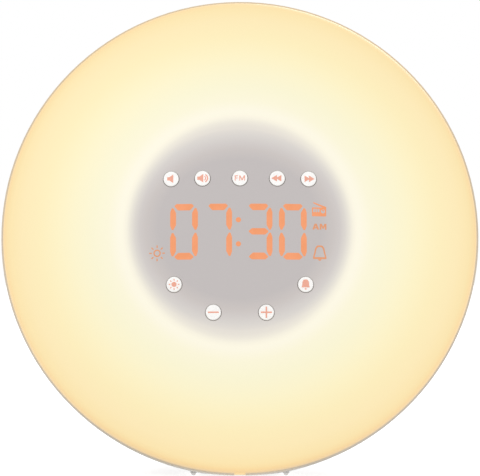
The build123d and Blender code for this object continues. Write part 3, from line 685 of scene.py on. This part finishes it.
upper_arm = bar(8.1, 2.15, 0.2, 1.6, 1.8, 0.3)
lower_arm = bar(8.6, 2.15, 0.2, 1.7, 1.9, 0.3)
segments = {
    "a": turned(bar(7.0, 2.4, 0.42, 0.7, 1.3, 0.15), 0, (0, digit_arm_y)),
    "b": turned(upper_arm, -90, (digit_arm_x, upper_arm_y)),
    "c": turned(lower_arm, -90, (digit_arm_x, lower_arm_y)),
    "d": turned(bar(7.0, 2.5, 0.25, 1.0, 1.4, 0.15), 180, (0, -digit_arm_y)),
    "e": turned(lower_arm, 90, (-digit_arm_x, lower_arm_y)),
    "f": turned(upper_arm, 90, (-digit_arm_x, upper_arm_y)),
    "g": bar(7.15, 2.35, 0, 1.15, 1.15, 0.2),
}
lit_segments = {"0": "abcdef", "7": "abc", "3": "abcdg"}
for number, (digit, x) in enumerate(zip("0730", digit_centres_x), 1):
    shown = [segments[letter] for letter in lit_segments[digit]]
    inlay(f"lit_digit_{number}", shown, (x, digit_centre_y), amber)
inlay("lit_colon", [circle(colon_radius, (0, y)) for y in colon_ys], (colon_x, 0), amber)


def sun(disc, line, near, far, width, rays=8):
    """A sun: a disc, or a ring where line is given, and its rays."""
    outlines = [circle(disc)] + ([circle(disc - line)] if line else [])
    ray = stroke((near, 0), (far, 0), width)
    return outlines + [turned(ray, 360 / rays * i) for i in range(rays)]


def box_outline(left, right, low, high, radius=0.12):
    """A rectangle with rounded corners, given in millimetres."""
    return rounded(in_mm([(left, low), (right, low), (right, high), (left, high)]), radius * mm, 3)


def lettering(letters, height):
    """Capitals in a row, each given as its outlines in a unit square, its left edge and its width."""
    outlines = []
    for letter, left, width in letters:
        outlines += [[(left + x * width, (y - 0.5) * height) for x, y in line] for line in letter]
    return outlines


def mirrored(right):
    """A closed outline from its right half, given from top to bottom in millimetres."""
    return in_mm(right + [(-x, y) for x, y in reversed(right) if x])


def clapper(half_width, drop, top):
    """The round end of a bell's clapper under its mouth, given in millimetres."""
    turns = [math.pi * (1 + i / 10) for i in range(11)]
    return in_mm([(half_width * math.cos(a), top + drop * math.sin(a)) for a in turns])


sun_place = (-30.36 * mm, -9.0 * mm)
sun_lines = sun(disc=1.36 * mm, line=0.46 * mm, near=1.93 * mm, far=2.9 * mm, width=0.44 * mm)
inlay("lit_sun", sun_lines, sun_place, dim_amber)

radio_place = (29.1 * mm, 6.3 * mm)
radio_case = box_outline(-2.62, 2.62, -1.68, 1.6, 0.3)
radio_dial = circle(0.78 * mm, (1.42 * mm, 0.2 * mm))
radio_slits = [box_outline(left, left + 0.68, -0.12, 1.12) for left in (-2.2, -1.36, -0.52)]
radio_aerial = in_mm([(-2.05, 3.55), (-2.2, 3.2), (2.0, 1.3), (2.7, 1.3), (2.6, 1.85)])
radio_pointer = in_mm([(0.85, 0.95), (1.15, 1.1), (1.85, 0.45), (1.6, 0.1)])
inlay("lit_radio", [radio_case, radio_dial, *radio_slits], radio_place, amber)
inlay("lit_radio_aerial", [radio_aerial], radio_place, amber)
inlay("lit_radio_pointer", [radio_pointer], radio_place, amber)

bold_a = [
    [(0, 0), (0.34, 1), (0.66, 1), (1, 0), (0.74, 0), (0.67, 0.2), (0.33, 0.2), (0.26, 0)],
    [(0.40, 0.40), (0.60, 0.40), (0.50, 0.74)],
]
bold_m = [
    [
        (0, 0), (0, 1), (0.3, 1), (0.5, 0.48), (0.7, 1), (1, 1), (1, 0), (0.77, 0), (0.77, 0.62),
        (0.59, 0.16), (0.41, 0.16), (0.23, 0.62), (0.23, 0),
    ]
]
band_place = (29.2 * mm, 0.78 * mm)
band_word = lettering([(bold_a, -2.59 * mm, 2.45 * mm), (bold_m, 0.14 * mm, 2.45 * mm)], height=2.15 * mm)
inlay("lit_band", band_word, band_place, dim_amber)

bell_outer = mirrored([(0, 2.42), (1.05, 2.36), (1.72, 1.3), (1.98, -0.1), (2.5, -2.1), (2.42, -2.6)])
bell_inner = mirrored([(0, 1.84), (0.72, 1.8), (1.22, 1.05), (1.46, -0.2), (1.92, -1.84), (1.86, -1.9)])
bell_lines = [rounded(bell_outer, 0.9 * mm), rounded(bell_inner, 0.8 * mm), clapper(0.62, 0.55, -2.66)]
bell_place = (29.3 * mm, -8.55 * mm)
inlay("lit_bell", bell_lines, bell_place, dim_amber)

# ---- Keys ----------------------------------------------------------------------------
# Nine round keys of white plastic, each turned in one piece: a cap that follows the dome, a collar
# that keeps it in and a stem over its switch. Their signs are printed in salmon. Caps and signs glow
# faintly as painted light, and below the cap each key is painted grey as shade.

cap_lift = 0.5 * mm
cap_round = 0.35 * mm
cap_rings = (1.8 * mm, 1.0 * mm, 0)   # where the cap has points, so that it follows the dome
collar_radius = 4.2 * mm
collar_top = -2.3 * mm      # under the dome's outer skin
collar_bottom = -3.8 * mm
stem_radius = 1.5 * mm
stem_foot_z = 15.55 * mm    # over the rim's plane

key_white = Finish("key_white", 0.38)
key_white.blend(key_white.noise(300, 2), [(0.3, paint(250, 248, 246)), (0.7, paint(255, 254, 252))])
key_white.bump(key_white.noise(2400, 2), 0.004 * mm)
# Painted light: the white caps glow faintly of their own.
key_white.glow(paint(255, 254, 250), 0.1)
key_white.on(*key_places)
# Painted shade: the keys are white all over, and their sides, collars and stems are painted grey for the
# shade in the gap round each cap.
key_side_painted_shade = moulded("key_side_painted_shade", (205, 202, 200), roughness=0.5)


def turned_key(x, y):
    """The key at a place of the face, as a mesh maker."""
    stem_foot = stem_foot_z - crown_z(x, y)
    edge = []
    for a in (math.pi / 2 * i / 6 for i in range(7)):
        edge.append((cap_radius - cap_round * (1 - math.cos(a)), cap_lift - cap_round * (1 - math.sin(a))))
    section = [
        (0, stem_foot), (stem_radius, stem_foot), (stem_radius, collar_bottom),
        (collar_radius, collar_bottom), (collar_radius, collar_top), (cap_radius, collar_top),
        *edge, *((radius, cap_lift) for radius in cap_rings),
    ]

    def make(bm):
        lathe(bm, section, sides=48)
        for vertex in bm.verts:
            on_dome = vertex.co.z + crown_z(vertex.co.x + x, vertex.co.y + y)
            at_foot = vertex.co.z < stem_foot + 0.1 * mm
            vertex.co = (vertex.co.x + x, vertex.co.y + y, stem_foot_z if at_foot else on_dome)

    return make


def is_side(point, x, y):
    """Whether a point of the key at x, y lies on its side, collar or stem, and not on its cap."""
    below_cap = point.z - crown_z(point.x, point.y) < cap_lift - cap_round * 0.75
    return below_cap or math.hypot(point.x - x, point.y - y) > cap_radius


for node_name, (x, y) in key_places.items():
    key_name = node_name.removeprefix("button_")
    form = turned_key(x, y)
    key = add_piece(f"key_{key_name}", form, key_white.material, f"{key_name}_key", face_place)
    key.data.materials.append(key_side_painted_shade.material)
    for polygon in key.data.polygons:
        polygon.material_index = int(is_side(face_place.inverted() @ polygon.center, x, y))
    shade_smooth(key, 40)
    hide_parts(node_name)


def arc_band(centre, radius, width, half_angle=60, count=12):
    """A stroke along part of a circle, to the right of its centre, given in millimetres and degrees."""
    turns = [math.radians(half_angle * (2 * i / count - 1)) for i in range(count + 1)]
    outer, inner = radius + width / 2, radius - width / 2
    points = [(outer * math.cos(a), outer * math.sin(a)) for a in turns]
    points += [(inner * math.cos(a), inner * math.sin(a)) for a in reversed(turns)]
    return in_mm([(centre[0] + x, centre[1] + y) for x, y in points])


def loudspeaker(shift, loud):
    """A loudspeaker moved sideways by shift in millimetres, with two arcs of sound if it is loud."""
    cone = [(-1.1, -0.62), (-0.3, -0.62), (1.1, -1.62), (1.1, 1.62), (-0.3, 0.62), (-1.1, 0.62)]
    mouth = (1.1 + shift, 0)
    outlines = [rounded(in_mm([(x + shift, y) for x, y in cone]), 0.1 * mm, 2)]
    if loud:
        outlines += [arc_band(mouth, radius=0.86, width=0.36), arc_band(mouth, radius=1.58, width=0.46)]
    return outlines


def two_arrows(way):
    """Two triangles that touch and point left for way -1 and right for 1."""
    upper = [(2.16, 0), (0.14, 1.22), (0.14, 0.24), (-1.5, 1.22)]
    points = upper + [(x, -y) for x, y in reversed(upper) if y]
    return [in_mm([(way * x, y) for x, y in points])]


def cross_bars(length, width):
    """A cross of two equal strokes."""
    end, side = length / 2, width / 2
    corners = [(-end, -side), (-side, -side), (-side, -end)]
    outline = []
    for quarter in range(4):
        outline += corners
        corners = [(-y, x) for x, y in corners]
    return [outline]


thin_f = [
    [
        (0, 0), (0, 1), (0.84, 1), (0.84, 0.84), (0.21, 0.84), (0.21, 0.57), (0.74, 0.57), (0.74, 0.42),
        (0.21, 0.42), (0.21, 0),
    ]
]
thin_m = [
    [
        (0, 0), (0, 1), (0.18, 1), (0.5, 0.32), (0.82, 1), (1, 1), (1, 0), (0.87, 0), (0.87, 0.68),
        (0.57, 0.06), (0.43, 0.06), (0.13, 0.68), (0.13, 0),
    ]
]
solid_bell = mirrored(
    [(0, 1.8), (0.75, 1.7), (1.17, 0.9), (1.24, 0.2), (1.3, -0.6), (1.48, -0.92), (1.46, -1.1)]
)
signs = {
    "volume_down": loudspeaker(-0.32, False),
    "volume_up": loudspeaker(-0.8, True),
    "radio": lettering([(thin_f, -1.88 * mm, 1.4 * mm), (thin_m, -0.22 * mm, 2.1 * mm)], height=1.95 * mm),
    "tune_down": two_arrows(-1),
    "tune_up": two_arrows(1),
    "lamp": sun(disc=0.93 * mm, line=0, near=1.36 * mm, far=1.98 * mm, width=0.38 * mm),
    "alarm": [rounded(solid_bell, 0.45 * mm), clapper(0.42, 0.5, -1.43)],
    "minus": [stroke((-2.0 * mm, 0), (2.0 * mm, 0), width=0.52 * mm)],
    "plus": cross_bars(length=4.05 * mm, width=0.54 * mm),
}
# The signs are printed salmon, and glow faintly as painted light.
salmon = moulded("salmon_print_painted_glow", (237, 169, 147), roughness=0.5, glow=0.11).material
for key_name, outlines in signs.items():
    place = key_places[f"button_{key_name}"]
    inlay(f"sign_{key_name}", outlines, place, salmon, f"{key_name}_key", cap_lift)

# ---- Surroundings --------------------------------------------------------------------
# A plain white floor runs into a white room. Soft studio lamps in front of the object and behind it
# light it at a plain level, and the floor keeps its shadow.

floor_reach = 4.0
room_light = 0.62
floor_lift = 0.72   # what the floor adds for the eye, so that it shows white and keeps its shadow


def show(tree, seen, otherwise, output):
    """Show one shader to the camera, also in shiny and clear things, and light the object by the other."""
    path = tree.nodes.new("ShaderNodeLightPath")
    in_view = path.outputs["Is Camera Ray"]
    for name in ("Is Glossy Ray", "Is Transmission Ray"):
        larger = tree.nodes.new("ShaderNodeMath")
        larger.operation = "MAXIMUM"
        tree.links.new(in_view, larger.inputs[0])
        tree.links.new(path.outputs[name], larger.inputs[1])
        in_view = larger.outputs["Value"]
    choice = tree.nodes.new("ShaderNodeMixShader")
    tree.links.new(in_view, choice.inputs["Fac"])
    tree.links.new(otherwise, choice.inputs[1])
    tree.links.new(seen, choice.inputs[2])
    tree.links.new(choice.outputs["Shader"], output)


floor_mesh = bpy.data.meshes.new("floor")
floor_corners = [(x * floor_reach, y * floor_reach, 0) for x, y in ((-1, -1), (1, -1), (1, 1), (-1, 1))]
floor_mesh.from_pydata(floor_corners, [], [(0, 1, 2, 3)])
floor = bpy.data.objects.new("floor", floor_mesh)
scene.collection.objects.link(floor)

floor_white = bpy.data.materials.new("floor_white")
floor_white.use_nodes = True
floor_mesh.materials.append(floor_white)
tree = floor_white.node_tree
plain, lifted = tree.nodes["Principled BSDF"], tree.nodes.new("ShaderNodeBsdfPrincipled")
for shader, lift in ((plain, 0.0), (lifted, floor_lift)):
    shader.inputs["Base Color"].default_value = (0.8, 0.8, 0.8, 1)
    shader.inputs["Roughness"].default_value = 1.0
    shader.inputs["Specular IOR Level"].default_value = 0.0
    shader.inputs["Emission Color"].default_value = (1, 1, 1, 1)
    shader.inputs["Emission Strength"].default_value = lift
surface = tree.nodes["Material Output"].inputs["Surface"]
show(tree, lifted.outputs["BSDF"], plain.outputs["BSDF"], surface)

world = bpy.data.worlds.new("white_room")
world.use_nodes = True
scene.world = world
tree = world.node_tree
room, bright = tree.nodes["Background"], tree.nodes.new("ShaderNodeBackground")
for background, strength in ((room, room_light), (bright, 1.0)):
    background.inputs["Color"].default_value = (1, 1, 1, 1)
    background.inputs["Strength"].default_value = strength
surface = tree.nodes["World Output"].inputs["Surface"]
show(tree, bright.outputs["Background"], room.outputs["Background"], surface)


def soft_lamp(name, place, width, height, power):
    """A large studio lamp aimed at the middle of the object, in metres and watts."""
    light = bpy.data.lights.new(name, "AREA")
    light.shape = "RECTANGLE"
    light.size, light.size_y = width, height
    light.energy = power
    lamp = bpy.data.objects.new(name, light)
    lamp.location = place
    lamp.rotation_euler = (face_centre - Vector(place)).to_track_quat("-Z", "Y").to_euler()
    scene.collection.objects.link(lamp)


soft_lamp("front_left", place=(-0.9, -1.1, 1.1), width=1.0, height=1.0, power=6.6)
soft_lamp("front_right", place=(0.8, -1.1, 0.4), width=1.0, height=0.6, power=2.2)
soft_lamp("behind", place=(0.5, 1.2, 1.0), width=0.9, height=0.9, power=6.5)

# ---- Camera --------------------------------------------------------------------------
# It stands level with the middle of the face, a metre in front of it, with a lens so long that the
# rim almost fills the frame.

view_distance = 1.0
view_width = 180.1 * mm   # how wide the frame is at the middle of the face
view_aside = 0.05 * mm    # to the right of the middle
view_below = 0.7 * mm     # and under it
camera_data = bpy.data.cameras.new("camera")
camera_data.lens = camera_data.sensor_width * view_distance / view_width
camera = bpy.data.objects.new("camera", camera_data)
camera.location = face_centre + Vector((view_aside, -view_distance, -view_below))
camera.rotation_euler = (math.radians(90), 0, 0)
scene.collection.objects.link(camera)
scene.camera = camera
scene.view_settings.view_transform = "Standard"
